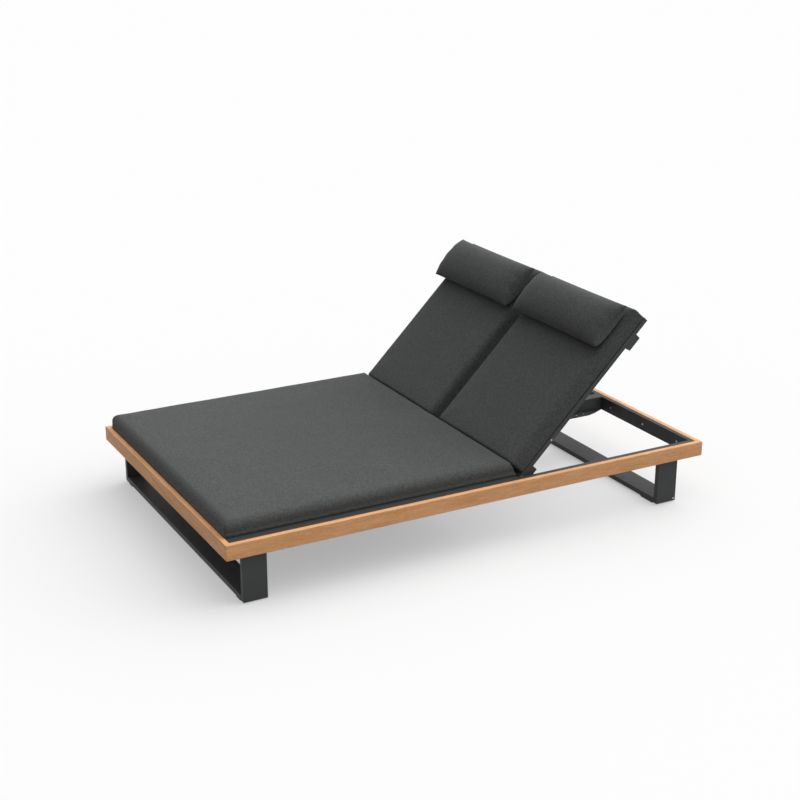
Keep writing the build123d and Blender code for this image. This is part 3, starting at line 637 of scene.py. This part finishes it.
def in_ear(point):
    """Near one of the four corners of the seam."""
    return abs(point.x) > PILLOW_HALF_LENGTH - PILLOW_EAR and abs(point.y) > PILLOW_HALF_WIDTH - PILLOW_EAR


inflate(pillow, PILLOW_CAP, lambda point: point.z < PILLOW_HELD_BELOW or in_ear(point))
# The corners and the seam stay sharp under the subdivision, and the base stays flat
corners = pillow.data.attributes.new("crease_vert", "FLOAT", "POINT")
for vertex in pillow.data.vertices:
    place = vertex.co
    at_end = abs(place.x) > PILLOW_HALF_LENGTH - CORNER_TOLERANCE
    if at_end and abs(place.y) > PILLOW_HALF_WIDTH - CORNER_TOLERANCE:
        corners.data[vertex.index].value = 1.0
crease = pillow.data.attributes.new("crease_edge", "FLOAT", "EDGE")
for edge in pillow.data.edges:
    if edge.vertices[0] in on_seam and edge.vertices[1] in on_seam:
        crease.data[edge.index].value = 1.0
for vertex in pillow.data.vertices:
    vertex.co.z = max(vertex.co.z, -PILLOW_BELOW)
pillow_place = Matrix.Translation((PILLOW_MIDDLE, (PILLOW_LOW + PILLOW_HIGH) / 2, PILLOW_SEAM))
pillow.data.transform(RAISED @ pillow_place)
pillow_right = twin(pillow, "right_pillow_cover", 2 * PILLOW_MIDDLE)
for piece, side in ((pillow, "left"), (pillow_right, "right")):
    refine(piece)
    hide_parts(side + "_head_pillow")
    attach(piece, side + "_back")


# Straps: webbing from under each pillow, over the head end, to the rear of the backrest
STRAP_MIDDLE = PILLOW_MIDDLE
STRAP_HALF_WIDTH = 0.03
STRAP_THICKNESS = 0.0016
STRAP_EDGE_THINNING = 0.35
STRAP_STEPS = 8
STRAP_CORNER_RADIUS = 0.005
# The path on a flat backrest, as (distance from the line of the pivots, height above it), and a point
# inside its bend
STRAP_PATH = ((0.753, 0.0785), (0.771, 0.0775), (0.783, 0.073), (0.7895, 0.064), (0.7915, 0.052),
              (0.7915, 0.03), (0.7954, 0.0112), (0.7956, -0.0107), (0.74, -0.0107))
STRAP_INSIDE = Vector((0, 0.7, 0.03))


def smooth_path(corners, radius, count=6):
    """A path with each inner corner rounded."""
    path = [corners[0]]
    for before, corner, after in zip(corners, corners[1:], corners[2:]):
        first = corner + (before - corner).normalized() * radius
        last = corner + (after - corner).normalized() * radius
        for index in range(count + 1):
            share = index / count
            path.append(first.lerp(corner, share).lerp(corner.lerp(last, share), share))
    path.append(corners[-1])
    return path


def strap_mesh():
    """Points and faces of webbing that is centred on its path, with its inner face on it."""
    path = smooth_path([Vector((0, y, z)) for y, z in STRAP_PATH], STRAP_CORNER_RADIUS)
    points = []
    faces = []
    ring = 2 * (STRAP_STEPS + 1)
    for index, place in enumerate(path):
        ahead = path[min(index + 1, len(path) - 1)] - path[max(index - 1, 0)]
        outward = Vector((0, ahead.z, -ahead.y)).normalized()
        if outward.dot(place - STRAP_INSIDE) < 0:
            outward = -outward
        for step in range(STRAP_STEPS + 1):
            share = -1 + 2 * step / STRAP_STEPS
            thickness = STRAP_THICKNESS * (1 - STRAP_EDGE_THINNING * share ** 8)
            points.append(place + outward * thickness + Vector((share * STRAP_HALF_WIDTH, 0, 0)))
        for step in range(STRAP_STEPS + 1):
            share = 1 - 2 * step / STRAP_STEPS
            points.append(place + Vector((share * STRAP_HALF_WIDTH, 0, 0)))
    for index in range(len(path) - 1):
        for step in range(ring):
            a, b = index * ring + step, index * ring + (step + 1) % ring
            faces.append((a, b, b + ring, a + ring))
    end = (len(path) - 1) * ring
    faces.append(tuple(reversed(range(ring))))
    faces.append(tuple(end + step for step in range(ring)))
    return points, faces


points, faces = strap_mesh()
strap = mesh_object("left_strap_webbing", points, faces, webbing)
strap.data.transform(RAISED @ Matrix.Translation((STRAP_MIDDLE, 0, 0)))
strap_right = twin(strap, "right_strap_webbing", 2 * STRAP_MIDDLE)
for piece, side in ((strap, "left"), (strap_right, "right")):
    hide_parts(side + "_pillow_strap")
    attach(piece, side + "_back")


# Floor, light and camera. The sky has an even level and soft lamps, as (direction, strength).
WHITE = (1.0, 1.0, 1.0, 1.0)
SKY_LEVEL = 0.21
SKY_FOCUS = 3.0
SKY_LAMPS = (((0.0, 0.0, 1.0), 1.28), ((0.0, 0.94, 0.34), 3.0))
FLOOR_HALF = 60.0
FLOOR_GREY, FLOOR_GLOW, FLOOR_BOUNCE_GREY = 0.5, 0.376, 0.16
CAMERA_LENS, CAMERA_SENSOR, CAMERA_REACH = 67.18, 36.0, 200.0
CAMERA_PLACE = (5.107, -2.7648, 2.4913)
CAMERA_AZIMUTH, CAMERA_ELEVATION = math.radians(61.566), math.radians(19.77)


def seen_directly(tree):
    """1 for camera, mirror and see-through rays, else 0."""
    path = add(tree, "LightPath")
    total = math_node(tree, "MAXIMUM", path.outputs["Is Camera Ray"], path.outputs["Is Glossy Ray"])
    return math_node(tree, "MAXIMUM", total, path.outputs["Is Transmission Ray"])


world = bpy.data.worlds.new("studio")
scene.world = world
world.use_nodes = True
sky = world.node_tree
sky.nodes.clear()
direction = add(sky, "TexCoord")
glow = SKY_LEVEL
for lamp, strength in SKY_LAMPS:
    towards = add(sky, "VectorMath", operation="DOT_PRODUCT")
    put(sky, towards.inputs[0], direction.outputs["Generated"])
    towards.inputs[1].default_value = lamp
    level = math_node(sky, "POWER", math_node(sky, "MAXIMUM", towards.outputs["Value"], 0.0), SKY_FOCUS)
    glow = math_node(sky, "ADD", math_node(sky, "MULTIPLY", level, strength), glow)
ambient = add(sky, "Background")
put(sky, ambient.inputs["Color"], glow)
ambient.inputs["Strength"].default_value = 1.0
backdrop = add(sky, "Background")
backdrop.inputs["Color"].default_value = WHITE
backdrop.inputs["Strength"].default_value = 1.0
sky_mix = add(sky, "MixShader")
put(sky, sky_mix.inputs[0], seen_directly(sky))
put(sky, sky_mix.inputs[1], ambient.outputs[0])
put(sky, sky_mix.inputs[2], backdrop.outputs[0])
out = add(sky, "OutputWorld")
put(sky, out.inputs["Surface"], sky_mix.outputs[0])

# The floor that is seen is lighter than the floor that lights the object from below
floor_corners = [(-FLOOR_HALF, -FLOOR_HALF, 0), (FLOOR_HALF, -FLOOR_HALF, 0),
                 (FLOOR_HALF, FLOOR_HALF, 0), (-FLOOR_HALF, FLOOR_HALF, 0)]
floor_material, tree, shader = new_material("pale_floor")
shader.inputs["Base Color"].default_value = (FLOOR_GREY, FLOOR_GREY, FLOOR_GREY, 1.0)
shader.inputs["Roughness"].default_value = 1.0
shader.inputs["Specular IOR Level"].default_value = 0.0
shader.inputs["Emission Color"].default_value = WHITE
put(tree, shader.inputs["Emission Strength"], math_node(tree, "MULTIPLY", seen_directly(tree), FLOOR_GLOW))
dim = add(tree, "BsdfDiffuse")
dim.inputs["Color"].default_value = (FLOOR_BOUNCE_GREY, FLOOR_BOUNCE_GREY, FLOOR_BOUNCE_GREY, 1.0)
choice = add(tree, "MixShader")
put(tree, choice.inputs[0], seen_directly(tree))
put(tree, choice.inputs[1], dim.outputs[0])
put(tree, choice.inputs[2], shader.outputs[0])
put(tree, tree.nodes["Material Output"].inputs["Surface"], choice.outputs[0])
floor = mesh_object("floor", floor_corners, [(0, 1, 2, 3)], floor_material, smooth=False)

camera_data = bpy.data.cameras.new("camera")
camera_data.sensor_width = CAMERA_SENSOR
camera_data.lens = CAMERA_LENS
camera_data.clip_end = CAMERA_REACH
camera = bpy.data.objects.new("camera", camera_data)
scene.collection.objects.link(camera)
level_reach = math.cos(CAMERA_ELEVATION)
back_direction = Vector((math.sin(CAMERA_AZIMUTH) * level_reach, -math.cos(CAMERA_AZIMUTH) * level_reach,
                         math.sin(CAMERA_ELEVATION)))
camera.location = CAMERA_PLACE
camera.rotation_mode = "QUATERNION"
camera.rotation_quaternion = (-back_direction).to_track_quat("-Z", "Y")
scene.camera = camera

scene.view_settings.view_transform = "Standard"
